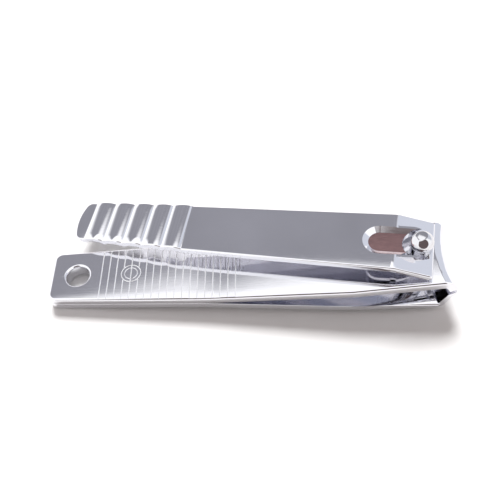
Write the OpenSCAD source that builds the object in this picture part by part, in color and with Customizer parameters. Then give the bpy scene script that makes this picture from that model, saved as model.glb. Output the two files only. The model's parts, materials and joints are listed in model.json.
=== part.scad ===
// Nail clipper: two spring arms riveted at the tail, curved cutting jaws,
// a turning post through both arms and a thumb lever hooked in the post's notch.
// Model frame: +X towards the jaws, +Z up, origin under the middle of the whole clipper.
// Every part is drawn in the clip frame, with x counted from the tail end, y = 0 on the
// middle line and z = 0 on the plane where the two arms touch. place() then lays the
// clipper on its tail edge and on the foot of its post.

/* [Arms] */
// Length from the tail end to the tips of the cutting edges
body_len = 80; // [78:1:84]
// Thickness of the sheet of each arm
arm_t = 1.65; // [1.5:0.05:1.8]
// Width at the tail end
tail_w = 11.2; // [10:0.1:12]
// Greatest width of the arms
wide_w = 15.8; // [15:0.1:17]
// Distance of the greatest width from the tail end
wide_x = 60; // [55:1:65]
// Width where the jaws begin to bend over
jaw_w = 14.7; // [14:0.1:15]
// Width across the tips of the cutting edges
tip_w = 13.6; // [13:0.1:14]
// Radius of the two tail corners
tail_corner_r = 1.6; // [1:0.1:3]
// Angle by which each arm spreads in front of its flat tail
spread = 3.4; // [3:0.1:3.6]
// Radius of the gentle bend where an arm starts to spread
spread_r = 120; // [100:5:140]

/* [Jaws] */
// Outer radius of the bend that turns an arm into its jaw
jaw_bend_r = 2.2; // [2:0.1:2.6]
// Angle by which a jaw is turned over
jaw_angle = 64; // [58:1:68]
// Depth of the upper jaw, from the arm's outer face to the cutting edge
upper_lip = 3.15; // [3:0.05:3.2]
// Depth of the lower jaw, from the arm's outer face to the cutting edge
lower_lip = 4.85; // [4.6:0.05:4.9]
// Radius of the hollow curve of the cutting edges, seen from above
edge_curve_r = 27; // [24:1:32]
// Share of the jaw's inner wall that is left by the grinding of the edge
grind_share = 0.3; // [0.2:0.05:0.5]

/* [Tail] */
// Distance of the ring hole from the tail end
hole_x = 5.4; // [5:0.1:7]
// Radius of the ring hole
hole_r = 2.3; // [1.8:0.1:2.6]
// Radius of the rounded rim of the ring hole
hole_rim_r = 0.55; // [0.2:0.05:0.7]
// Distance of the tail rivet from the tail end
rivet_x = 16.34; // [14:0.01:18]
// Radius of the rivet's shank
rivet_r = 1.3; // [1:0.1:1.6]
// Radius of the rivet's flush heads
rivet_head_r = 2.1; // [1.9:0.1:2.4]
// Number of engraved cross lines
line_count = 19; // [12:1:19]
// Distance of the first line from the tail end
line_first = 10.3; // [9.5:0.1:11]
// Distance from line to line
line_pitch = 1.51; // [1.3:0.01:1.6]
// Depth of an engraved line
line_depth = 0.12; // [0.05:0.01:0.2]

/* [Post] */
// Distance of the post's axis from the tips of the cutting edges
post_back = 6.6; // [6.4:0.1:6.8]
// Radius of the post
post_r = 2.05; // [1.9:0.05:2.1]
// Radius of the ball head
ball_r = 2.2; // [2:0.05:2.2]
// Height of the ball head's middle over the touching plane
ball_z = 7.6; // [7.2:0.1:7.6]
// Radius of the foot under the lower arm
foot_r = 2.8; // [2.4:0.1:3]

/* [Lever] */
// Length of the lever behind the post's axis
lever_len = 70.1; // [66:0.1:72]
// Thickness of the lever's sheet
lever_t = 1.3; // [1.2:0.05:1.3]
// Width near the lever's tail end
lever_tail_w = 9.4; // [8.5:0.1:10]
// Width over the front part of the lever
lever_w = 13; // [12:0.1:13.4]
// Angle by which the stored lever is swung out from the arms
swing = 10.3; // [0:0.1:20]
// Downward slope of the stored lever towards its tail end
lever_slope = 3.05; // [2.6:0.05:3.2]
// Distance of the knee behind the post's axis
knee_back = 4.9; // [4.5:0.1:5.5]
// Downward slope of the nose in front of the knee
nose_angle = 13.4; // [12:0.1:15]
// Number of finger ribs
rib_count = 5; // [3:1:5]
// Distance from rib to rib
rib_pitch = 4.2; // [3.8:0.1:4.3]
// Distance of the foremost rib's middle behind the post's axis
rib_first = 48.5; // [47:0.1:49]
// Height of a rib
rib_h = 0.5; // [0.3:0.05:0.6]
// Width of the sunk pocket behind the post
pocket_w = 6.6; // [5.5:0.1:7]
// Distance of the pocket's closed end behind the post's axis
pocket_back = 11.2; // [9:0.1:13]
// Depth of the pocket
pocket_d = 0.7; // [0.4:0.05:0.8]

/* [Hidden] */
$fn = 96;

steel = [0.73, 0.73, 0.76];
dark_steel = [0.58, 0.58, 0.62];
eps = 0.01;
tall = 40;                                  // reaches through every part of the clipper
wide = 20;                                  // wider than either arm and the lever

// Arms
seam_x = line_first + 11.5 * line_pitch;    // the flat tail ends midway between two lines
relief = 0.03;                              // lets the upper jaw rock down on the lower arm
run_x = seam_x + spread_r * sin(spread);    // start of the straight run in front of the bend
run_z = spread_r * (1 - cos(spread));
curve_x = body_len + sqrt(pow(edge_curve_r, 2) - pow(tip_w / 2, 2));
edge_x = curve_x - edge_curve_r;            // the cutting edges on the middle line
jaw_root = 3.2;                             // where the sides start to taper to the tips
rivet_head_t = 0.5;
ring_d = 0.2;                               // depth of the ring pressed round the rivet
line_top = 1;                               // height of an engraving cutter
line_half_w = 1.1;                          // half the cutter's width at that height

// Post
post_x = body_len - post_back;
post_clear = 0.05;                          // running clearance in the lower arm
post_play = 0.25;                           // the upper arm rocks round the post
foot_z = arm_outer_z(post_x + foot_r) + 0.03;
foot_rim_t = 0.45;
foot_t = 0.8;
foot_face_r = foot_r - 0.6;

// Lever, in its own frame: x counted forwards from the post's axis
bar_r = lever_t / 2 + 0.02;                 // the rolled front edge is the lever's hinge bar
bar_x = 1.75;
bar_clear = 0.06;
bar_gap = 0.2;                              // between the bar and the upper arm
knee_x = -knee_back;
nose_len = (bar_x - knee_x) / cos(nose_angle);
bar_z = arm_outer_z(post_x + bar_x) + bar_r + bar_gap;
knee_z = bar_z + (bar_x - knee_x) * tan(nose_angle);
knee_r = 5;                                 // bend radius at the middle of the sheet
knee_turn = lever_slope + nose_angle;
knee_run = knee_r * tan(knee_turn / 2);     // from the knee's corner to where the bend starts
lever_end_r = 12.5;                         // radius of the bowed tail end
lever_corner = 0.9;                         // depth of the corners beside it
lever_wide_x = -22;                         // full width from here to the front edge
post_hole_r = 3.15;
post_hole_x = -0.55;
rib_w = rib_pitch + 0.3;                    // neighbours meet in a crease over the sheet
rib_r = (pow(rib_w / 2, 2) + pow(rib_h, 2)) / (2 * rib_h);
pocket_boss = 0.5;                          // the pocket stands out under the sheet
pocket_wall = 0.4;

// Resting pose: the tail's lower edge and the foot's rear edge touch the ground
pitch = atan((foot_z + foot_t - arm_t) / (post_x - foot_face_r));
far_edge = lever_len * sin(swing) + lever_tail_w / 2 * cos(swing) - 0.45;
origin_x = body_len * cos(pitch) / 2 - 0.1;
origin_y = (far_edge - wide_w / 2) / 2;

// Height of an arm's outer face over the touching plane, at x
function arm_outer_z(x) =
    x < seam_x ? arm_t
    : x < run_x ? spread_r - sqrt(pow(spread_r - arm_t, 2) - pow(x - seam_x, 2))
    : run_z + (x - run_x) * tan(spread) + arm_t / cos(spread);

// A half outline followed by its mirror image, as one closed outline
function both_sides(points) =
    concat(points, [for (i = [len(points) - 1:-1:0]) [points[i].x, -points[i].y]]);

// Points along an arc
function arc(middle, r, from, to, steps = 8) =
    [for (i = [0:steps]) let (a = from + (to - from) * i / steps) middle + r * [cos(a), sin(a)]];

// From the clip frame to the model frame
module place() {
    translate([-origin_x, -origin_y, arm_t * cos(pitch)])
        rotate([0, -pitch, 0])
            children();
}

// From the lever's frame to the clip frame
module on_post() {
    translate([post_x, 0, 0])
        rotate([0, 0, -swing])
            children();
}

// Plan of both arms
module arm_plan() {
    corner = [tail_corner_r, tail_w / 2 - tail_corner_r];
    polygon(both_sides(concat(
        arc(corner, tail_corner_r, 180, 90),
        [
            [wide_x, wide_w / 2],
            [body_len - jaw_root, jaw_w / 2],
            [body_len + 1, tip_w / 2 - 0.2]
        ]
    )));
}

// From the frame of an arm's straight run, with u along it and v across it, to the side view
function on_run(uv) =
    [run_x, run_z] + uv.x * [cos(spread), sin(spread)] + uv.y * [-sin(spread), cos(spread)];

// Side view of an arm from start_x to its cutting edge: flat, gently bent, straight, then its jaw
module arm_side(start_x, lip) {
    bend = [seam_x, spread_r];
    reach = jaw_bend_r * sin(jaw_angle) + (lip - jaw_bend_r * (1 - cos(jaw_angle))) / tan(jaw_angle);
    edge = [(edge_x - run_x + (arm_t - lip) * sin(spread)) / cos(spread), arm_t - lip];
    middle = [edge.x - reach, arm_t - jaw_bend_r];
    inner_arc = arc(middle, jaw_bend_r - arm_t, 90, 90 - jaw_angle);
    outer_arc = arc(middle, jaw_bend_r, 90 - jaw_angle, 90);
    ground = inner_arc[len(inner_arc) - 1] + grind_share * (edge - outer_arc[0]);
    polygon(concat(
        start_x < seam_x ? [[start_x, 0]] : [],
        arc(bend, spread_r, -90, spread - 90),
        [for (uv = concat(inner_arc, [ground, edge], outer_arc)) on_run(uv)],
        arc(bend, spread_r - arm_t, spread - 90, -90),
        start_x < seam_x ? [[start_x, arm_t]] : []
    ));
}

// An arm from start_x to the cutting edge, as the upper arm has it. The side view is swept
// round the axis of the hollow cutting edges, which bows the jaw and leaves the tail flat.
module arm(start_x, lip) {
    sweep = 2 * asin(wide / 2 / edge_curve_r);
    intersection() {
        translate([curve_x, 0, 0])
            rotate([0, 0, 180 - sweep / 2])
                rotate_extrude(angle = sweep)
                    translate([curve_x, 0])
                        mirror([1, 0])
                            arm_side(start_x, lip);
        translate([0, 0, -tall / 2])
            linear_extrude(tall)
                arm_plan();
    }
}

// What is cut out of an arm's tail: the ring hole with its rounded rim and the rivet's seat
module tail_holes() {
    translate([hole_x, 0, 0]) {
        translate([0, 0, -tall / 2])
            cylinder(r = hole_r, h = tall);
        translate([0, 0, arm_t - hole_rim_r])
            rotate_extrude()
                difference() {
                    square([hole_r + hole_rim_r, hole_rim_r + 1]);
                    translate([hole_r + hole_rim_r, 0])
                        circle(hole_rim_r);
                }
    }
    translate([rivet_x, 0, 0]) {
        translate([0, 0, -tall / 2])
            cylinder(r = rivet_r, h = tall);
        translate([0, 0, arm_t - rivet_head_t])
            cylinder(r = rivet_head_r, h = tall);
    }
}

// The engraved cross lines, as cutters along the upper arm's outer face
module cross_lines(first, last) {
    for (i = [first:last])
        let (x = line_first + i * line_pitch)
            translate([x, wide / 2, arm_outer_z(x) - line_depth])
                rotate([90, 0, 0])
                    linear_extrude(wide)
                        polygon([[0, 0], [line_half_w, line_top], [-line_half_w, line_top]]);
}

module lower_arm() {
    color(steel)
        difference() {
            mirror([0, 0, 1])
                difference() {
                    arm(0, lower_lip);
                    tail_holes();
                }
            translate([post_x, 0, -tall / 2])
                cylinder(r = post_r + post_clear, h = tall);
        }
}

module upper_arm_tail() {
    color(steel)
        difference() {
            linear_extrude(arm_t)
                intersection() {
                    arm_plan();
                    translate([0, -wide / 2])
                        square([seam_x, wide]);
                }
            tail_holes();
            cross_lines(0, 11);
        }
}

module upper_arm_jaw() {
    color(steel)
        difference() {
            translate([0, 0, relief])
                arm(seam_x, upper_lip);
            translate([post_x, 0, -tall / 2])
                cylinder(r = post_r + post_play, h = tall);
            cross_lines(12, line_count - 1);
        }
}

module tail_rivet() {
    ring_mid = (rivet_r + rivet_head_r) / 2;
    ring_half = (rivet_head_r - rivet_r) / 2;
    color(dark_steel)
        difference() {
            translate([rivet_x, 0, 0]) {
                translate([0, 0, -arm_t])
                    cylinder(r = rivet_r, h = 2 * arm_t);
                for (side = [0, 1])
                    mirror([0, 0, side])
                        translate([0, 0, arm_t - rivet_head_t])
                            cylinder(r = rivet_head_r, h = rivet_head_t);
            }
            translate([rivet_x, 0, arm_t])
                rotate_extrude()
                    polygon([
                        [ring_mid, -ring_d],
                        [ring_mid + ring_half, eps],
                        [ring_mid - ring_half, eps]
                    ]);
            cross_lines(4, 4);
        }
}

module post() {
    color(dark_steel)
        on_post()
            difference() {
                union() {
                    translate([0, 0, -foot_z])
                        cylinder(r = post_r, h = foot_z + ball_z);
                    translate([0, 0, ball_z])
                        sphere(ball_r);
                    translate([0, 0, -foot_z - foot_rim_t])
                        cylinder(r = foot_r, h = foot_rim_t);
                    translate([0, 0, -foot_z - foot_t])
                        cylinder(r1 = foot_face_r, r2 = foot_r, h = foot_t - foot_rim_t);
                }
                translate([bar_x, wide / 2, bar_z])
                    rotate([90, 0, 0])
                        cylinder(r = bar_r + bar_clear, h = wide);
            }
}

// Plan of the lever: a bowed tail end with small corners, widening towards the front
module lever_plan() {
    bow = asin((lever_tail_w / 2 - lever_corner) / lever_end_r);
    polygon(both_sides(concat(
        arc([lever_end_r - lever_len, 0], lever_end_r, 180, 180 - bow),
        [
            [lever_corner * 1.6 - lever_len, lever_tail_w / 2],
            [lever_wide_x, lever_w / 2],
            [bar_x + bar_r, lever_w / 2 - 0.2]
        ]
    )));
}

// The pocket's form, a slot closed at its rear end
module pocket(grow, h) {
    closed_x = pocket_w / 2 - pocket_back;
    translate([closed_x, 0, 0])
        cylinder(r = pocket_w / 2 + grow, h = h);
    translate([closed_x, -pocket_w / 2 - grow, 0])
        cube([-closed_x + post_hole_x, pocket_w + 2 * grow, h]);
}

// The lever's sheet, before its ribs, pocket and post hole, in the frame of its long run
module lever_sheet() {
    half = lever_t / 2;
    run = (lever_len - knee_back) / cos(lever_slope) + 1;
    knee = [-knee_run, -knee_r];
    nose = [cos(knee_turn), -sin(knee_turn)] * (nose_len - 0.05);
    up = [sin(knee_turn), cos(knee_turn)] * half;
    translate([0, wide / 2, 0])
        rotate([90, 0, 0])
            linear_extrude(wide)
                polygon(concat(
                    [[-run, -half], [-run, half]],
                    arc(knee, knee_r + half, 90, 90 - knee_turn),
                    [nose + up, nose - up],
                    arc(knee, knee_r - half, 90 - knee_turn, 90)
                ));
}

// The finger ribs, pressed up through the sheet: rounded on top and hollow below
module rib_rods(r) {
    for (i = [0:rib_count - 1])
        translate([knee_back - rib_first - i * rib_pitch, wide / 2, lever_t / 2 + rib_h - rib_r])
            rotate([90, 0, 0])
                cylinder(r = r, h = wide);
}

module lever() {
    color(steel)
        on_post()
            intersection() {
                union() {
                    difference() {
                        translate([knee_x, 0, knee_z])
                            rotate([0, -lever_slope, 0])
                                difference() {
                                    union() {
                                        lever_sheet();
                                        intersection() {
                                            rib_rods(rib_r);
                                            translate([-lever_len, -wide / 2, 0])
                                                cube([lever_len, wide, lever_t]);
                                        }
                                        translate([knee_back, 0, -lever_t / 2 - pocket_boss])
                                            pocket(pocket_wall, pocket_boss + lever_t / 2);
                                    }
                                    rib_rods(rib_r - lever_t);
                                    translate([knee_back, 0, lever_t / 2 - pocket_d])
                                        pocket(0, tall);
                                }
                        translate([post_hole_x, 0, -tall / 2])
                            cylinder(r = post_hole_r, h = tall);
                    }
                    translate([bar_x, wide / 2, bar_z])
                        rotate([90, 0, 0])
                            cylinder(r = bar_r, h = wide);
                }
                translate([0, 0, -tall / 2])
                    linear_extrude(tall)
                        lever_plan();
            }
}

place() lower_arm();
place() upper_arm_tail();
place() upper_arm_jaw();
place() tail_rivet();
place() post();
place() lever();
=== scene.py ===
# %% [markdown]
# # A lever nail clipper in polished chrome
# The clipper lies on its tail edge and on the foot of its post, with the thumb lever stored
# over the arms and swung a little to one side. All pieces are pressed or turned steel under
# bright chrome plate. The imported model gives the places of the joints; every piece is then
# shaped in the clip frame, with x counted from the tail end, y = 0 on the middle line and
# z = 0 on the plane where the two arms touch, and is laid in its place at the end.

import json
from math import asin, atan2, cos, pi, radians, sin, sqrt, tan

import bmesh
import bpy
from mathutils import Matrix, Vector


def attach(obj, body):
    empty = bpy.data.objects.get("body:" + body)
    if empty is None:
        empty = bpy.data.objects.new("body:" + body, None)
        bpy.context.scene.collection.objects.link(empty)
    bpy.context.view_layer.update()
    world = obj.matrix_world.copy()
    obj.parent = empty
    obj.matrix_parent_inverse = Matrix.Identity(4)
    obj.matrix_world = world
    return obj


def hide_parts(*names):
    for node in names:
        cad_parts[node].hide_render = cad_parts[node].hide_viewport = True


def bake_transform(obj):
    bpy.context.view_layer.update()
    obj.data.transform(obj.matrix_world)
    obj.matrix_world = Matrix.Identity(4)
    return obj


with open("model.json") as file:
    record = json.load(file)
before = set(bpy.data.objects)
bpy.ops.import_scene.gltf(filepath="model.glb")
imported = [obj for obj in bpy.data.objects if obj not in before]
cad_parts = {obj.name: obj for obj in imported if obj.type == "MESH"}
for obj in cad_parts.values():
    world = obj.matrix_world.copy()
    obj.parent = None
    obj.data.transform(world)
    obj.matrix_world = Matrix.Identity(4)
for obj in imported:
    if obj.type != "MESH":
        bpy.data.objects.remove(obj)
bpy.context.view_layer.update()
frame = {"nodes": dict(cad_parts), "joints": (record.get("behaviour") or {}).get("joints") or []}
joints = {joint["name"]: joint for joint in frame["joints"]}
MM = 0.001

# %% [markdown]
# ## The clip frame
# The clipper leans back a little, because it rests on its tail and on the post's foot. The
# post's joint holds both facts: its axis gives the lean and its point lies on the plane
# where the arms touch. One matrix then lays anything drawn in the clip frame in its place.
# A second one turns the lever and the post by the swing of the stored lever.

# %% The two frames
POST_X = 73.4 * MM  # the post's axis, from the tail end
post_axis = Vector(joints["post_turn"]["axis"])
bar_axis = Vector(joints["lever_lift"]["axis"])
pitch = atan2(-post_axis.x, post_axis.z)
to_model = (
    Matrix.Translation(Vector(joints["post_turn"]["pos_m"]))
    @ Matrix.Rotation(-pitch, 4, "Y")
    @ Matrix.Translation((-POST_X, 0, 0))
)
bar_in_clip = to_model.inverted().to_3x3() @ bar_axis
swing = atan2(bar_in_clip.x, bar_in_clip.y)
lever_to_clip = Matrix.Translation((POST_X, 0, 0)) @ Matrix.Rotation(-swing, 4, "Z")
lever_to_model = to_model @ lever_to_clip
bar_place = lever_to_model.inverted() @ Vector(joints["lever_lift"]["pos_m"])
print(f"lean {pitch * 180 / pi:.2f} degrees, swing {swing * 180 / pi:.2f} degrees")

# %% [markdown]
# ## Small helpers
# The pieces are shaped in edit mode, as by hand: something is picked by its place, then an
# operator acts on it. These helpers keep that short. `pick` selects, `draw_from` starts a
# line from one point, and `finish` smooths a piece, keeps its flats flat and lays it down.

# %% Helpers for edit mode
def deselect_all():
    if bpy.context.mode != "OBJECT":
        bpy.ops.object.mode_set(mode="OBJECT")
    bpy.ops.object.select_all(action="DESELECT")


def edit(piece):
    deselect_all()
    bpy.context.view_layer.objects.active = piece
    piece.select_set(True)
    bpy.ops.object.mode_set(mode="EDIT")


def pick(kind, test):
    """Select the vertices, edges or faces of the piece in edit mode that pass the test."""
    bpy.ops.mesh.select_mode(type=kind)
    bpy.ops.mesh.select_all(action="DESELECT")
    mesh = bmesh.from_edit_mesh(bpy.context.object.data)
    items = {"VERT": mesh.verts, "EDGE": mesh.edges, "FACE": mesh.faces}[kind]
    chosen = [item for item in items if test(item)]
    for item in chosen:
        item.select_set(True)
    mesh.select_flush_mode()
    bmesh.update_edit_mesh(bpy.context.object.data)
    return len(chosen)


def near(a, b, within=0.01 * MM):
    return abs(a - b) < within


def move(x=0.0, y=0.0, z=0.0):
    bpy.ops.transform.translate(value=(x, y, z))


def sweep(center, angle, axis, steps):
    """Spin what is picked right-handed round an axis; the operator itself turns left-handed."""
    bpy.ops.mesh.spin(steps=steps, angle=-angle, center=center, axis=axis)


def new_piece(name):
    piece = bpy.context.object
    piece.name = piece.data.name = name
    return piece


def apply_transform(piece):
    deselect_all()
    bpy.context.view_layer.objects.active = piece
    piece.select_set(True)
    bpy.ops.object.transform_apply(location=True, rotation=True, scale=True)


def apply_modifier(piece, kind, **settings):
    deselect_all()
    bpy.context.view_layer.objects.active = piece
    modifier = piece.modifiers.new(kind.title(), kind)
    for key, value in settings.items():
        setattr(modifier, key, value)
    bpy.ops.object.modifier_apply(modifier=modifier.name)


def cut(piece, cutter, operation="DIFFERENCE"):
    """Cut one closed form out of a piece, or join it, and drop the form afterwards."""
    apply_modifier(
        piece,
        "BOOLEAN",
        object=cutter,
        operation=operation,
        solver="MANIFOLD",
        material_mode="TRANSFER",
    )
    bpy.data.objects.remove(cutter)


def finish(piece, matrix, sharp_from=32):
    """Shade a piece smoothly across its rounded edges and lay it in its place."""
    deselect_all()
    bpy.context.view_layer.objects.active = piece
    piece.select_set(True)
    bpy.ops.object.shade_smooth_by_angle(angle=radians(sharp_from))
    apply_modifier(piece, "WEIGHTED_NORMAL", mode="FACE_AREA", weight=100, keep_sharp=True)
    piece.data.transform(matrix)
    piece.data.update()
    print(f"{piece.name}: {len(piece.data.vertices)} vertices, {len(piece.data.polygons)} faces")


# %% [markdown]
# ## Chrome
# Bright chrome is a mirror, so nearly all of its look comes from what stands around it. The
# plate itself adds a faint grey tint, hair-fine polishing marks along each piece and soft
# waves left by the polishing wheel. All of these are noise in the piece's own coordinates,
# in very small amounts, because a mirror doubles every slope. The engraved lines and the
# post keep the dull grain of the tool that made them. The floor of the lever's pocket gets
# a warm brown colour that is a painted reflection: on real chrome that warm colour is
# something mirrored there, and this painted reflection stays when the view turns.

# %% A polished metal
SMUDGE_SCALE = 160.0
GRAIN_SPAN = 20  # mm
MARK_DEPTH = 0.01 * MM
WAVE_DEPTH = 0.1 * MM
DARKER = 0.93


def metal(name, tint, rough, rough_spread, waves, marks, grain=(6.0, 90.0, 90.0)):
    """Chrome or steel: a tint, a roughness that wanders, broad waves and fine marks.

    The grain counts the marks in 20 mm along x, y and z.
    """
    material = bpy.data.materials.new(name)
    material.use_nodes = True
    nodes, links = material.node_tree.nodes, material.node_tree.links
    shader = nodes["Principled BSDF"]
    shader.inputs["Metallic"].default_value = 1.0
    place = nodes.new("ShaderNodeTexCoord")
    stretch = nodes.new("ShaderNodeMapping")
    stretch.inputs["Scale"].default_value = tuple(g / MM / GRAIN_SPAN for g in grain)
    links.new(place.outputs["Object"], stretch.inputs["Vector"])

    brush = nodes.new("ShaderNodeTexNoise")
    brush.inputs["Scale"].default_value = 1.0
    brush.inputs["Detail"].default_value = 4.0
    links.new(stretch.outputs["Vector"], brush.inputs["Vector"])
    smudge = nodes.new("ShaderNodeTexNoise")
    smudge.inputs["Scale"].default_value = SMUDGE_SCALE
    smudge.inputs["Detail"].default_value = 3.0
    links.new(place.outputs["Object"], smudge.inputs["Vector"])

    colour = nodes.new("ShaderNodeMix")
    colour.data_type = "RGBA"
    colour.inputs["A"].default_value = (*tint, 1)
    colour.inputs["B"].default_value = (*(DARKER * t for t in tint), 1)
    links.new(smudge.outputs["Fac"], colour.inputs["Factor"])
    links.new(colour.outputs["Result"], shader.inputs["Base Color"])

    gloss = nodes.new("ShaderNodeMapRange")
    gloss.inputs["From Min"].default_value = 0.3
    gloss.inputs["From Max"].default_value = 0.7
    gloss.inputs["To Min"].default_value = rough
    gloss.inputs["To Max"].default_value = rough + rough_spread
    links.new(brush.outputs["Fac"], gloss.inputs["Value"])
    links.new(gloss.outputs["Result"], shader.inputs["Roughness"])

    fine = nodes.new("ShaderNodeBump")
    fine.inputs["Strength"].default_value = marks
    fine.inputs["Distance"].default_value = MARK_DEPTH
    links.new(brush.outputs["Fac"], fine.inputs["Height"])
    broad = nodes.new("ShaderNodeBump")
    broad.inputs["Strength"].default_value = waves
    broad.inputs["Distance"].default_value = WAVE_DEPTH
    links.new(smudge.outputs["Fac"], broad.inputs["Height"])
    links.new(fine.outputs["Normal"], broad.inputs["Normal"])
    links.new(broad.outputs["Normal"], shader.inputs["Normal"])
    return material


chrome = metal("polished_chrome", (0.80, 0.80, 0.83), 0.03, 0.05, 0.05, 0.08)
engraved = metal("engraved_line", (0.97, 0.97, 0.98), 0.42, 0.15, 0.2, 0.6)
turned = metal("turned_post", (0.70, 0.70, 0.72), 0.08, 0.10, 0.25, 0.4, grain=(90.0, 90.0, 6.0))
# Painted reflection: the warm brown base colour of the pocket floor stands in for something
# mirrored there.
painted_pocket_reflection = metal("pocket_floor_painted_reflection", (0.50, 0.31, 0.30), 0.08, 0.10, 0.3, 0.4)
print("finishes:", chrome.name, engraved.name, turned.name, painted_pocket_reflection.name)

# %% [markdown]
# ## Sizes of the arms
# Both arms are cut from the same strip: they widen towards the front, taper a little to the
# jaws and spread apart behind a very gentle bend. Each ends in a jaw that is turned over and
# hollowed, so that both edges meet on a curve like the edge of a nail.

# %% Sizes of the arms
ARM_LEN = 80 * MM
ARM_T = 1.65 * MM
TAIL_HALF = 5.6 * MM
WIDE_HALF = 7.9 * MM
WIDE_X = 60 * MM
JAW_HALF = 7.35 * MM
TIP_HALF = 6.6 * MM
JAW_ROOT = 3.2 * MM
TAIL_CORNER = 1.6 * MM
SPREAD = radians(3.4)
SPREAD_R = 120 * MM
JAW_BEND_R = 2.2 * MM
JAW_TURN = radians(64)
UPPER_LIP = 3.15 * MM
LOWER_LIP = 4.85 * MM
EDGE_CURVE_R = 27 * MM
GRIND_BACK = 0.3
TIP_SHARE = 0.4
ARM_ROUND = 0.5 * MM
INNER_ROUND = 0.1 * MM
EDGE_HOLLOW = 0.87 * MM  # how far the corners of the jaw stand before its middle
LINES = 19
LINE_FIRST = 10.3 * MM
LINE_PITCH = 1.51 * MM
LINE_DEPTH = 0.11 * MM

seam_x = LINE_FIRST + 11.5 * LINE_PITCH  # between two engraved lines
run_x = seam_x + SPREAD_R * sin(SPREAD)
run_z = SPREAD_R * (1 - cos(SPREAD))
edge_x = ARM_LEN - EDGE_HOLLOW


def arm_outer_z(x):
    """Height of the upper arm's outer face over the touching plane."""
    if x < seam_x:
        return ARM_T
    if x < run_x:
        return SPREAD_R - sqrt((SPREAD_R - ARM_T) ** 2 - (x - seam_x) ** 2)
    return run_z + (x - run_x) * tan(SPREAD) + ARM_T / cos(SPREAD)


print(f"the cutting edge is {edge_x / MM:.2f} mm from the tail on the middle line")

# %% [markdown]
# ## A sheet arm with its jaw
# An arm could be cut from a solid with straight cuts, but their slanting cut lines leave
# slivers that spoil the rounded rim. So the arm is built the way it is pressed: the side
# view of the strip is drawn first, pulled sideways row by row, then every station is drawn
# in to its width and the rows of the jaw are moved forward along the hollow of the edge.
# The mesh stays a clean grid, on which the rim can be bevelled round in one go.

# %% Sideways rows and stations
ROWS = (0.1, 0.2, 0.3, 0.4, 0.5, 0.6, 0.7, 1.0)


def pull_rows(half_width):
    """Extrude what is there sideways, in rows that are even in the middle."""
    for before, after in zip((0, *ROWS), ROWS):
        bpy.ops.mesh.extrude_region_move(
            TRANSFORM_OT_translate={"value": (0, (after - before) * half_width, 0)}
        )


def set_widths(piece, reference, half_width):
    """Draw every station in or out to its half width."""
    stations = sorted({round(v.co.x / MM, 4) for v in bmesh.from_edit_mesh(piece.data).verts})
    for x in stations:
        pick("VERT", lambda v: near(v.co.x, x * MM, 0.0001 * MM))
        factor = half_width(x * MM) / reference
        bpy.ops.transform.resize(value=(1, factor, 1), center_override=(x * MM, 0, 0))


def bow_rows(piece, is_bowed, bow):
    """Move the picked part of every row along x, as far as the bow has come at its width."""
    points = bmesh.from_edit_mesh(piece.data).verts
    moved = {v.index: bow(v.co.y) for v in points if is_bowed(v)}
    for shift in sorted({round(shift / MM, 3) for shift in moved.values()}):
        pick(
            "VERT",
            lambda v: v.index in moved and near(moved[v.index], shift * MM, 0.0006 * MM),
        )
        move(x=shift * MM)


def make_other_half(piece):
    """Mirror the half that was drawn across the middle line."""
    apply_modifier(
        piece,
        "MIRROR",
        use_axis=(False, True, False),
        use_mirror_merge=True,
        merge_threshold=0.002 * MM,
    )


def side_edges(e):
    """An edge between an upward face and an upright side."""
    if len(e.link_faces) != 2:
        return False
    low, high = sorted(f.normal.z for f in e.link_faces)
    return high > 0.25 and abs(low) < 0.12


def lower_side_edges(e):
    """An edge between a downward face and an upright side."""
    if len(e.link_faces) != 2:
        return False
    low, high = sorted(f.normal.z for f in e.link_faces)
    return low < -0.25 and abs(high) < 0.12


# %% Section of an arm
def arm_half_width(x):
    if x < WIDE_X:
        return TAIL_HALF + (WIDE_HALF - TAIL_HALF) * x / WIDE_X
    if x < ARM_LEN - JAW_ROOT:
        length = ARM_LEN - JAW_ROOT - WIDE_X
        return WIDE_HALF + (JAW_HALF - WIDE_HALF) * (x - WIDE_X) / length
    return JAW_HALF + (TIP_HALF - JAW_HALF) * (x - ARM_LEN + JAW_ROOT) / JAW_ROOT


def edge_bow(y):
    return EDGE_CURVE_R - sqrt(EDGE_CURVE_R**2 - y**2)


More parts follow.
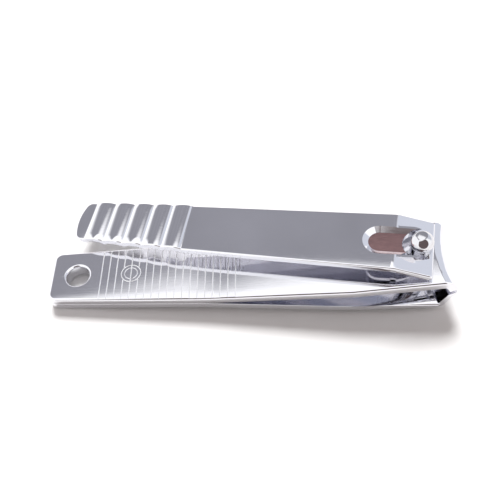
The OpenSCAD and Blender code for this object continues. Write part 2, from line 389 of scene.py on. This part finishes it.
def arm_section(name, lip):
    """The side view of an arm, as a strip of faces on the middle plane."""
    bpy.ops.mesh.primitive_plane_add(
        size=1, location=(seam_x / 2, 0, ARM_T / 2), rotation=(pi / 2, 0, 0)
    )
    arm = new_piece(name)
    arm.scale = (seam_x, ARM_T, 1)
    apply_transform(arm)
    edit(arm)
    pick("EDGE", lambda e: all(near(v.co.x, seam_x) for v in e.verts))
    sweep((seam_x, 0, SPREAD_R), SPREAD, (0, -1, 0), 6)

    bend_drop = JAW_BEND_R * (1 - cos(JAW_TURN))
    reach = JAW_BEND_R * sin(JAW_TURN) + (lip - bend_drop) / tan(JAW_TURN)
    along = Vector((cos(SPREAD), 0, sin(SPREAD)))
    across = Vector((-sin(SPREAD), 0, cos(SPREAD)))
    run = (edge_x - run_x + (ARM_T - lip) * sin(SPREAD)) / cos(SPREAD) - reach
    to_wide = WIDE_X - run_x
    for length in (to_wide, run - to_wide):
        bpy.ops.mesh.extrude_region_move(TRANSFORM_OT_translate={"value": along * length})
    start = Vector((run_x, 0, run_z))
    middle = start + along * run + across * (ARM_T - JAW_BEND_R)
    sweep(middle, JAW_TURN, (0, 1, 0), 5)

    turned_out = along * sin(JAW_TURN) + across * cos(JAW_TURN)
    edge = start + along * (run + reach) + across * (ARM_T - lip)
    wall = edge - (middle + turned_out * JAW_BEND_R)
    for share in (1 - TIP_SHARE, TIP_SHARE):
        bpy.ops.mesh.extrude_region_move(TRANSFORM_OT_translate={"value": wall * share})
    inner_end = middle + turned_out * (JAW_BEND_R - ARM_T) + wall
    pick("VERT", lambda v: (v.co - inner_end).length < 0.01 * MM)
    move(*(-GRIND_BACK * wall))
    return arm, (start + along * run).x, (edge - wall * TIP_SHARE * 0.9).z


# %% Rows, widths, bow and rims of an arm
def arm_blank(name, lip):
    """One arm, drawn as the upper one, before its holes."""
    arm, jaw_from, tip_z = arm_section(name, lip)

    def off_the_tip(e):
        return all(v.co.x < jaw_from or v.co.z > tip_z for v in e.verts)

    bpy.ops.mesh.select_mode(type="FACE")
    bpy.ops.mesh.select_all(action="SELECT")
    pull_rows(TAIL_HALF)
    bpy.ops.mesh.select_all(action="SELECT")
    bpy.ops.mesh.normals_make_consistent(inside=False)
    set_widths(arm, TAIL_HALF, arm_half_width)
    bow_rows(arm, lambda v: v.co.x > jaw_from - 0.1 * MM, edge_bow)
    pick("FACE", lambda f: all(near(v.co.y, 0) for v in f.verts))
    bpy.ops.mesh.delete(type="FACE")
    corner = pick(
        "EDGE",
        lambda e: all(near(v.co.x, 0) and near(v.co.y, TAIL_HALF) for v in e.verts),
    )
    bpy.ops.mesh.bevel(offset=TAIL_CORNER, segments=8, profile=0.5, affect="EDGES")
    rim = pick("EDGE", lambda e: side_edges(e) and off_the_tip(e))
    bpy.ops.mesh.bevel(
        offset=ARM_ROUND, segments=6, profile=0.5, affect="EDGES", clamp_overlap=True
    )

    def behind_the_jaw(e):
        return all(v.co.x < jaw_from for v in e.verts)

    inner_rim = pick("EDGE", lambda e: lower_side_edges(e) and behind_the_jaw(e))
    bpy.ops.mesh.bevel(offset=INNER_ROUND, segments=2, profile=0.5, affect="EDGES")
    bpy.ops.object.mode_set(mode="OBJECT")
    make_other_half(arm)
    arm.data.materials.append(chrome)
    print(f"{name}: {corner} corner edge, {rim} outer and {inner_rim} inner rim edges rounded")
    return arm


# %% [markdown]
# ## Holes in the arms
# The ring hole has a rounded rim on the outer faces, so its cutter is a line spun round the
# hole's axis, with the rim's curve as a quarter circle. The rivet's seat and the holes for
# the post are plain drilled holes.

# %% Cutters
HOLE_X = 5.4 * MM
HOLE_R = 2.3 * MM
HOLE_RIM = 0.55 * MM
RIVET_X = 16.34 * MM
RIVET_R = 1.3 * MM
HEAD_R = 2.1 * MM
HEAD_T = 0.5 * MM
FIT = 0.01 * MM
UPPER_POST_HOLE_R = 2.3 * MM
LOWER_POST_HOLE_R = 2.1 * MM
FAR = 6 * MM  # well past either face of a sheet


def draw_from(name, point):
    """Start a line from one point: a plane merged into its middle."""
    bpy.ops.mesh.primitive_plane_add(size=1 * MM, location=(0, 0, 0))
    piece = new_piece(name)
    edit(piece)
    bpy.ops.mesh.select_all(action="SELECT")
    bpy.ops.mesh.merge(type="CENTER")
    bpy.ops.mesh.select_mode(type="VERT")
    bpy.ops.mesh.select_all(action="SELECT")
    move(*point)
    return piece


def draw_by(x=0.0, y=0.0, z=0.0):
    bpy.ops.mesh.extrude_vertices_move(TRANSFORM_OT_translate={"value": (x, y, z)})


def turn_round(steps=64):
    """Spin the drawn line once round the z axis and close it."""
    bpy.ops.mesh.select_all(action="SELECT")
    bpy.ops.mesh.spin(steps=steps, angle=2 * pi, center=(0, 0, 0), axis=(0, 0, 1))
    bpy.ops.mesh.select_all(action="SELECT")
    bpy.ops.mesh.remove_doubles(threshold=0.001 * MM)
    bpy.ops.mesh.normals_make_consistent(inside=False)
    bpy.ops.object.mode_set(mode="OBJECT")


def hole_cutter(surface):
    """The ring hole with its rounded rim, for a tail whose touching side is at z = 0."""
    cutter = draw_from("ring_hole", (0, 0, -FAR))
    draw_by(x=HOLE_R)
    rim_z = ARM_T - HOLE_RIM + FIT
    draw_by(z=FAR + rim_z)
    sweep((HOLE_R + HOLE_RIM, 0, rim_z), pi / 2, (0, 1, 0), 8)
    draw_by(z=FAR)
    draw_by(x=-HOLE_R - HOLE_RIM)
    turn_round()
    cutter.data.materials.append(surface)
    cutter.data.transform(Matrix.Translation((HOLE_X, 0, 0)))
    return cutter


def drill(x, r, low, high, surface):
    bpy.ops.mesh.primitive_cylinder_add(
        vertices=64, radius=r, depth=high - low, location=(x, 0, (low + high) / 2)
    )
    cutter = new_piece("drill")
    apply_transform(cutter)
    cutter.data.materials.append(surface)
    return cutter


def engraver(first, last):
    """Square bars on their edges, one for each engraved line."""
    side = 0.6 * MM
    bars = []
    for i in range(first, last + 1):
        x = LINE_FIRST + i * LINE_PITCH
        z = arm_outer_z(x) - LINE_DEPTH + side / sqrt(2)
        bpy.ops.mesh.primitive_cube_add(size=1, location=(x, 0, z), rotation=(0, pi / 4, 0))
        bar = new_piece("engraver")
        bar.scale = (side, 20 * MM, side)
        bars.append(bar)
    deselect_all()
    for bar in bars:
        bar.select_set(True)
    bpy.context.view_layer.objects.active = bars[0]
    if len(bars) > 1:
        bpy.ops.object.join()
    apply_transform(bars[0])
    bars[0].data.materials.append(engraved)
    return bars[0]


# %% Both arms
def drill_arm(arm, post_hole_r):
    """The ring hole, the rivet's seat and bore, and the hole for the post."""
    cut(arm, hole_cutter(chrome))
    cut(arm, drill(RIVET_X, HEAD_R + FIT, ARM_T - HEAD_T, FAR, chrome))
    cut(arm, drill(RIVET_X, RIVET_R + FIT, -FAR, FAR, chrome))
    cut(arm, drill(POST_X, post_hole_r, -FAR, 2 * FAR, chrome))


upper_arm = arm_blank("upper_arm_sheet", UPPER_LIP)
drill_arm(upper_arm, UPPER_POST_HOLE_R)
cut(upper_arm, engraver(0, LINES - 1))

lower_arm = arm_blank("lower_arm_sheet", LOWER_LIP)
drill_arm(lower_arm, LOWER_POST_HOLE_R)
lower_arm.data.transform(Matrix.Scale(-1, 4, (0, 0, 1)))
lower_arm.data.flip_normals()
finish(upper_arm, to_model)
finish(lower_arm, to_model)

# %% [markdown]
# ## The tail rivet
# The rivet is pressed flush and polished with the arms, so only two fine rings and the
# engraved line across it show. A cylinder is its shank. Each end is grown into a head, and
# insets on the head give the rings, whose middles are pressed down.

# %% Tail rivet
RING_W = 0.2 * MM
RING_RADII = (HEAD_R - RING_W / 2 - 0.04 * MM, RIVET_R)
RING_DEPTH = 0.12 * MM
RIVET_LINE = 4  # the engraved line that crosses the rivet's middle

bpy.ops.mesh.primitive_cylinder_add(
    vertices=64, radius=RIVET_R, depth=2 * (ARM_T - HEAD_T), location=(RIVET_X, 0, 0)
)
rivet = new_piece("tail_rivet_pressed")
apply_transform(rivet)
for side in (1, -1):
    edit(rivet)
    pick("FACE", lambda f: f.normal.z * side > 0.9 and f.calc_center_median().z * side > 0)
    bpy.ops.mesh.extrude_region_move()
    grow = HEAD_R / RIVET_R
    bpy.ops.transform.resize(value=(grow, grow, 1), center_override=(RIVET_X, 0, 0))
    bpy.ops.mesh.extrude_region_move(TRANSFORM_OT_translate={"value": (0, 0, side * HEAD_T)})
    reached = HEAD_R
    for ring_r in RING_RADII:
        for inwards in (reached - ring_r - RING_W / 2, RING_W / 2, RING_W / 2):
            bpy.ops.mesh.inset(thickness=inwards)
        reached = ring_r - RING_W / 2

    def on_ring(v):
        from_middle = Vector((v.co.x - RIVET_X, v.co.y)).length
        return near(v.co.z, side * ARM_T) and any(near(from_middle, r) for r in RING_RADII)

    count = pick("VERT", on_ring)
    move(z=-side * RING_DEPTH)
    bpy.ops.object.mode_set(mode="OBJECT")
    print(f"rivet: {count} points of the rings pressed in")
rivet.data.materials.append(chrome)
rivet.data.materials.append(engraved)
for face in rivet.data.polygons:
    from_middle = Vector((face.center.x - RIVET_X, face.center.y)).length
    if abs(face.normal.z) < 0.98 and from_middle > RIVET_R and abs(face.normal.z) > 0.2:
        face.material_index = 1
cut(rivet, engraver(RIVET_LINE, RIVET_LINE))
finish(rivet, to_model)

# %% [markdown]
# ## The post
# The post is a turned pin: a foot below the lower arm, a shank through both arms and a ball
# head. Small flats on the head catch the light, as a punch would leave them. The outline is
# drawn as a line and spun once round. Bisect left doubled faces at the flats, so each flat
# is cut with a turned block instead. The notch for the lever's bar is cut with a cylinder
# on the bar's own axis.

# %% Post
POST_R = 2.05 * MM
BALL_R = 2.2 * MM
BALL_Z = 7.6 * MM
FOOT_R = 2.8 * MM
FOOT_RIM = 0.45 * MM
FOOT_T = 0.8 * MM
FOOT_FACE_R = FOOT_R - 0.6 * MM
BAR_R = 0.67 * MM
BAR_CLEAR = 0.06 * MM
PUNCH = 4  # side of the block in mm
# each flat: its distance from the ball's middle in mm, and the way it faces
FLATS = ((1.9, (-0.18, 0.05, 1)), (2.02, (0.05, -0.72, 0.7)), (2.05, (-0.7, -0.3, 0.6)))
foot_z = arm_outer_z(POST_X + FOOT_R) + 0.03 * MM
neck = asin(POST_R / BALL_R)

post = draw_from("post_turned", (0, 0, -foot_z - FOOT_T))
draw_by(x=FOOT_FACE_R)
draw_by(x=FOOT_R - FOOT_FACE_R, z=FOOT_T - FOOT_RIM)
draw_by(z=FOOT_RIM)
draw_by(x=POST_R - FOOT_R)
draw_by(z=foot_z + BALL_Z - BALL_R * cos(neck))
sweep((0, 0, BALL_Z), pi - neck, (0, -1, 0), 20)
turn_round()
post.data.materials.append(turned)
for flat_at, facing in FLATS:
    direction = Vector(facing).normalized()
    place = Vector((0, 0, BALL_Z)) + direction * (flat_at + PUNCH / 2) * MM
    turn_to = direction.to_track_quat("Z", "Y").to_euler()
    bpy.ops.mesh.primitive_cube_add(size=PUNCH * MM, location=place, rotation=turn_to)
    punch = new_piece("punch")
    apply_transform(punch)
    punch.data.materials.append(turned)
    cut(post, punch)
bpy.ops.mesh.primitive_cylinder_add(
    vertices=48,
    radius=BAR_R + BAR_CLEAR,
    depth=2 * FAR,
    location=bar_place,
    rotation=(pi / 2, 0, 0),
)
notch = new_piece("notch")
apply_transform(notch)
notch.data.materials.append(turned)
cut(post, notch)
finish(post, lever_to_model)

# %% [markdown]
# ## The thumb lever
# The lever is one pressed sheet: five ribs for the thumb, a long straight run, a knee and a
# nose that ends in a rolled bar, which sits in the post's notch. Its top is drawn as one
# line, rib by rib with the spin tool, then pulled sideways in rows like an arm, drawn in to
# its width and bowed at the tail. Solidify gives it its thickness, and the rim is bevelled.
# The pocket with the boss below it and the hole for the post are cut afterwards, and the
# bar is joined on last.

# %% Sizes of the lever
LEVER_LEN = 70.1 * MM
LEVER_T = 1.3 * MM
LEVER_TAIL_HALF = 4.7 * MM
LEVER_HALF = 6.5 * MM
LEVER_WIDE_X = -22 * MM
END_R = 12.5 * MM
END_CORNER = 0.9 * MM
SLOPE = radians(3.05)
NOSE = radians(13.4)
KNEE_BACK = 4.9 * MM
KNEE_R = 5 * MM
RIBS = 5
RIB_PITCH = 4.2 * MM
RIB_FIRST = 48.5 * MM
RIB_H = 0.5 * MM
RIB_W = RIB_PITCH + 0.3 * MM
LEVER_ROUND = 0.3 * MM
LEVER_LOWER_ROUND = 0.2 * MM

turn = SLOPE + NOSE
knee_run = KNEE_R * tan(turn / 2)
knee_z = bar_place.z + (bar_place.x + KNEE_BACK) * tan(NOSE)
nose_len = (bar_place.x + KNEE_BACK) / cos(NOSE)
rib_r = ((RIB_W / 2) ** 2 + RIB_H**2) / (2 * RIB_H)
rib_z = LEVER_T / 2 + RIB_H - rib_r
run_to_lever = Matrix.Translation((-KNEE_BACK, 0, knee_z)) @ Matrix.Rotation(-SLOPE, 4, "Y")
print(f"rib radius {rib_r / MM:.2f} mm, knee turns {turn * 180 / pi:.1f} degrees")

# %% Lever sheet
flank = asin(RIB_W / 2 / rib_r)
crease = asin(RIB_PITCH / 2 / rib_r)
run_back = (LEVER_LEN - KNEE_BACK) / cos(SLOPE) - 0.03 * MM
rib_x = [KNEE_BACK - RIB_FIRST - i * RIB_PITCH for i in reversed(range(RIBS))]

lever = draw_from("thumb_lever_sheet", (-run_back, 0, LEVER_T / 2))
draw_by(x=rib_x[0] - RIB_W / 2 + run_back)
for i, x in enumerate(rib_x):
    before = flank if i == 0 else crease
    after = flank if i == RIBS - 1 else crease
    sweep((x, 0, rib_z), before + after, (0, 1, 0), 12)
draw_by(x=-knee_run - rib_x[-1] - RIB_W / 2)
sweep((-knee_run, 0, -KNEE_R), turn, (0, 1, 0), 8)
nose_run = nose_len - knee_run
draw_by(x=nose_run * cos(turn), z=-nose_run * sin(turn))
bpy.ops.mesh.select_all(action="SELECT")
bpy.ops.object.mode_set(mode="OBJECT")
lever.data.transform(run_to_lever)
edit(lever)
bpy.ops.mesh.select_mode(type="EDGE")
bpy.ops.mesh.select_all(action="SELECT")
pull_rows(LEVER_HALF)


def lever_half_width(x):
    if x > LEVER_WIDE_X:
        return LEVER_HALF
    length = LEVER_WIDE_X + LEVER_LEN
    return LEVER_HALF + (LEVER_TAIL_HALF - LEVER_HALF) * (LEVER_WIDE_X - x) / length


def end_bow(y):
    return END_R - sqrt(END_R**2 - y**2)


set_widths(lever, LEVER_HALF, lever_half_width)
tail_x = min(v.co.x for v in bmesh.from_edit_mesh(lever.data).verts)
bow_rows(lever, lambda v: near(v.co.x, tail_x), end_bow)
bpy.ops.mesh.select_all(action="SELECT")
bpy.ops.mesh.normals_make_consistent(inside=False)
bpy.ops.object.mode_set(mode="OBJECT")
if sum(face.normal.z for face in lever.data.polygons) < 0:
    lever.data.flip_normals()
apply_modifier(lever, "SOLIDIFY", thickness=LEVER_T, offset=-1.0, use_even_offset=True)

# %% Round the lever
edit(lever)
pick("FACE", lambda f: all(near(v.co.y, 0) for v in f.verts))
bpy.ops.mesh.delete(type="FACE")


def is_tail_corner(e):
    upright = abs((e.verts[0].co - e.verts[1].co).normalized().z) > 0.9
    return upright and all(
        v.co.y > LEVER_TAIL_HALF - 0.1 * MM and v.co.x < tail_x + 1.5 * MM for v in e.verts
    )


corner = pick("EDGE", is_tail_corner)
bpy.ops.mesh.bevel(offset=END_CORNER, segments=6, affect="EDGES")
rim = pick("EDGE", side_edges)
bpy.ops.mesh.bevel(offset=LEVER_ROUND, segments=5, affect="EDGES")
lower_rim = pick("EDGE", lower_side_edges)
bpy.ops.mesh.bevel(offset=LEVER_LOWER_ROUND, segments=3, affect="EDGES")
bpy.ops.object.mode_set(mode="OBJECT")
make_other_half(lever)
lever.data.materials.append(chrome)
print(f"lever: {corner} corner, {rim} and {lower_rim} rim edges rounded")

# %% Pocket and post hole
POCKET_W = 6.6 * MM
POCKET_BACK = 11.2 * MM
POCKET_D = 0.7 * MM
POCKET_WALL = 1.1 * MM  # how far the sloping wall runs inwards
BOSS_WIDER = 0.35 * MM
BOSS_DEPTH = 0.45 * MM
BOSS_TOP_BELOW = 0.1 * MM
BOSS_SHORTER = 1.5 * MM
DISH_ABOVE = 0.6  # the cutter stands this many mm out of the sheet
POST_HOLE_R = 3.15 * MM
POST_HOLE_X = -0.55 * MM


def pocket_form(bottom_r, top_r, low, high, front_x):
    """A dish with sloping walls, closed at the back and drawn out to the post hole."""
    bpy.ops.mesh.primitive_cone_add(
        vertices=64,
        radius1=bottom_r,
        radius2=top_r,
        depth=high - low,
        location=(0, 0, (low + high) / 2),
    )
    form = new_piece("pocket_form")
    apply_transform(form)
    closed_x = POCKET_W / 2 - POCKET_BACK
    form.data.transform(Matrix.Translation((closed_x + KNEE_BACK, 0, 0)))
    edit(form)
    pick("VERT", lambda v: v.co.x > closed_x + KNEE_BACK + 0.01 * MM)
    move(x=front_x - closed_x)
    bpy.ops.object.mode_set(mode="OBJECT")
    form.data.transform(run_to_lever)
    form.data.materials.append(chrome)
    return form


half = LEVER_T / 2
top_r = POCKET_W / 2
floor_r = top_r - POCKET_WALL
boss = pocket_form(
    floor_r + BOSS_WIDER,
    top_r + BOSS_WIDER,
    -half - BOSS_DEPTH,
    half - BOSS_TOP_BELOW,
    POST_HOLE_X - BOSS_SHORTER,
)
cut(lever, boss, "UNION")
dish = pocket_form(
    floor_r,
    top_r + MM * (POCKET_WALL / POCKET_D) * DISH_ABOVE,
    half - POCKET_D,
    half + MM * DISH_ABOVE,
    POST_HOLE_X,
)
cut(lever, dish)

# %% Pocket floor, post hole and bar
# The pocket floor gets the painted reflection, a warm brown colour in place of what chrome would
# mirror there.
lever.data.materials.append(painted_pocket_reflection)
for face in lever.data.polygons:
    place = run_to_lever.inverted() @ face.center
    on_floor = near(place.z, half - POCKET_D, 0.05 * MM) and face.normal.z > 0.9
    if on_floor and near(place.y, 0, floor_r):
        face.material_index = 1
cut(lever, drill(POST_HOLE_X, POST_HOLE_R, -FAR, 3 * FAR, chrome))
BAR_ROUND = 0.2 * MM
bpy.ops.mesh.primitive_cylinder_add(
    vertices=48,
    radius=BAR_R,
    depth=2 * LEVER_HALF - BAR_ROUND,
    location=bar_place,
    rotation=(pi / 2, 0, 0),
)
bar = new_piece("rolled_bar")
apply_transform(bar)
edit(bar)
pick("EDGE", lambda e: near(e.verts[0].co.y, e.verts[1].co.y))
bpy.ops.mesh.bevel(offset=BAR_ROUND, segments=3, affect="EDGES")
bpy.ops.object.mode_set(mode="OBJECT")
bar.data.materials.append(chrome)
cut(lever, bar, "UNION")
finish(lever, lever_to_model)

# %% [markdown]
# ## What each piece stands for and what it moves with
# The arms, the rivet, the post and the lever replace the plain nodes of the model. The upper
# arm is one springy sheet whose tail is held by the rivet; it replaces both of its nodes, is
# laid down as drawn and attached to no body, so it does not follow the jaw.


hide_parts("upper_arm_tail", "upper_arm_jaw")
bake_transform(upper_arm)
for piece, node, body, slot in (
    (lower_arm, "lower_arm", "base", "arms"),
    (rivet, "tail_rivet", "base", "rivet"),
    (post, "post", "post", "post"),
    (lever, "lever", "lever", "lever"),
):
    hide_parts(node)
    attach(piece, body)
for node in frame["nodes"].values():
    node.data.materials.clear()
    node.data.materials.append(turned if node.name == "post" else chrome)

# %% [markdown]
# ## The floor and the light
# The clipper lies on a white sheet. Chrome shows the room, so the room is painted by
# direction: white nearly all round, one grey wall behind the clipper that its flat tops
# mirror, a paler field to the right, and a warm dark onlooker in front. Dull surfaces get a
# dim even fill instead of that room, and a wide soft lamp behind the clipper, which the
# chrome doesn't mirror, so that a shadow falls forward. The room is set for the main view:
# seen from straight above or low from the front, the chrome mirrors white on white.

# %% Floor
bpy.ops.mesh.primitive_plane_add(size=3, location=(0, 0, 0))
floor = new_piece("floor")
sheet = bpy.data.materials.new("white_sheet")
sheet.use_nodes = True
sheet.node_tree.nodes["Principled BSDF"].inputs["Base Color"].default_value = (0.9, 0.9, 0.9, 1)
sheet.node_tree.nodes["Principled BSDF"].inputs["Roughness"].default_value = 0.9
sheet.node_tree.nodes["Principled BSDF"].inputs["Specular IOR Level"].default_value = 0.1
floor.data.materials.append(sheet)

# %% World
WALL_TOP_SLOPE = 0.1
WALL_TOP_SOFT = 1.6
PALE_RIGHT = 85
PALE_HEIGHT = (8, 62)
ONLOOKER_WIDTH = 26
ONLOOKER_HEIGHT = (12, 64)


def paint_room(white, pale, grey, onlooker, fill, left, right, low, high, soft):
    """A white room with a grey wall and a warm dark onlooker, by direction in degrees."""
    world = bpy.data.worlds.new("room")
    bpy.context.scene.world = world
    world.use_nodes = True
    nodes, links = world.node_tree.nodes, world.node_tree.links

    def math(operation, a, b):
        node = nodes.new("ShaderNodeMath")
        node.operation = operation
        for socket, value in zip(node.inputs, (a, b)):
            if isinstance(value, (int, float)):
                socket.default_value = value
            else:
                links.new(value, socket)
        return node.outputs["Value"]

    def step(angle, at, softness):
        """Rises from 0 to 1 as the angle passes a limit."""
        node = nodes.new("ShaderNodeMapRange")
        node.interpolation_type = "SMOOTHSTEP"
        node.inputs["From Min"].default_value = at - softness
        node.inputs["From Max"].default_value = at + softness
        links.new(angle, node.inputs["Value"])
        return node.outputs["Result"]

    def between(angle, start, end):
        return math("SUBTRACT", step(angle, start, soft), step(angle, end, soft))

    place = nodes.new("ShaderNodeTexCoord")
    split = nodes.new("ShaderNodeSeparateXYZ")
    links.new(place.outputs["Generated"], split.inputs["Vector"])
    azimuth = math("MULTIPLY", math("ARCTAN2", split.outputs["X"], split.outputs["Y"]), 180 / pi)
    elevation = math("MULTIPLY", math("ARCSINE", split.outputs["Z"], 0), 180 / pi)
    across = between(azimuth, left, right)
    top_edge = math("SUBTRACT", elevation, math("MULTIPLY", azimuth, WALL_TOP_SLOPE))
    upwards = math("SUBTRACT", step(elevation, low, soft), step(top_edge, high, WALL_TOP_SOFT))
    beside = between(azimuth, right, PALE_RIGHT)
    lower = between(elevation, *PALE_HEIGHT)
    from_front = math("SUBTRACT", 180, math("ABSOLUTE", azimuth, 0))
    in_front = math("SUBTRACT", 1, step(from_front, ONLOOKER_WIDTH, soft))
    body = math("MULTIPLY", in_front, between(elevation, *ONLOOKER_HEIGHT))

    def lay_over(under, colour, share):
        node = nodes.new("ShaderNodeMix")
        node.data_type = "RGBA"
        for socket, value in ((node.inputs["A"], under), (node.inputs["B"], colour)):
            if isinstance(value, tuple):
                socket.default_value = (*value, 1)
            else:
                links.new(value, socket)
        links.new(share, node.inputs["Factor"])
        return node.outputs["Result"]

    cloud = nodes.new("ShaderNodeTexNoise")
    cloud.inputs["Scale"].default_value = 9.0
    links.new(place.outputs["Generated"], cloud.inputs["Vector"])
    darker, lighter = (tuple(share * g for g in grey) for share in (0.85, 1.15))
    wall = lay_over(darker, lighter, cloud.outputs["Fac"])
    room = lay_over(white, pale, math("MULTIPLY", beside, lower))
    room = lay_over(room, wall, math("MULTIPLY", across, upwards))
    room = lay_over(room, onlooker, body)
    kind = nodes.new("ShaderNodeLightPath")
    room = lay_over(room, fill, kind.outputs["Is Diffuse Ray"])
    links.new(room, nodes["Background"].inputs["Color"])


paint_room(
    white=(1.35, 1.35, 1.37),
    pale=(0.80, 0.83, 0.92),
    grey=(0.36, 0.36, 0.40),
    onlooker=(0.16, 0.12, 0.12),
    fill=(0.42, 0.38, 0.37),
    left=-43,
    right=20,
    low=22,
    high=56.4,
    soft=3.5,
)

# %% Lamp
lamp = bpy.data.lights.new("window", "SUN")
lamp.energy = 4.0
lamp.angle = radians(25)
window = bpy.data.objects.new("window", lamp)
bpy.context.scene.collection.objects.link(window)
window.rotation_euler = Vector((-0.1, 0.62, 0.8)).to_track_quat("Z", "Y").to_euler()
window.visible_glossy = False
bpy.context.scene.cycles.glossy_bounces = 12
bpy.context.scene.cycles.max_bounces = 16

# %% [markdown]
# ## The camera
# The view is from close by, from the near long side and steeply down, with the jaws to the
# right and the camera rolled a little, so that the clipper rises to the right.

# %% Camera
AIM = Vector((0.201, 2.374, 1.933)) * MM
DISTANCE = 146.16 * MM
ELEVATION = radians(54.23)
AZIMUTH = radians(-2.69)
ROLL = radians(-3.2)
LENS = 50.62

look = Vector(
    (sin(AZIMUTH) * cos(ELEVATION), cos(AZIMUTH) * cos(ELEVATION), -sin(ELEVATION))
)
right = look.cross(Vector((0, 0, 1))).normalized()
up = right.cross(look)
rolled_right = right * cos(ROLL) + up * sin(ROLL)
rolled_up = up * cos(ROLL) - right * sin(ROLL)
eye = bpy.data.cameras.new("eye")
eye.lens = LENS
eye.sensor_width = 36
eye.clip_start = 5 * MM
camera = bpy.data.objects.new("eye", eye)
bpy.context.scene.collection.objects.link(camera)
axes = Matrix((rolled_right, rolled_up, -look)).transposed().to_4x4()
camera.matrix_world = Matrix.Translation(AIM - look * DISTANCE) @ axes
bpy.context.scene.camera = camera
bpy.context.scene.view_settings.view_transform = "Standard"
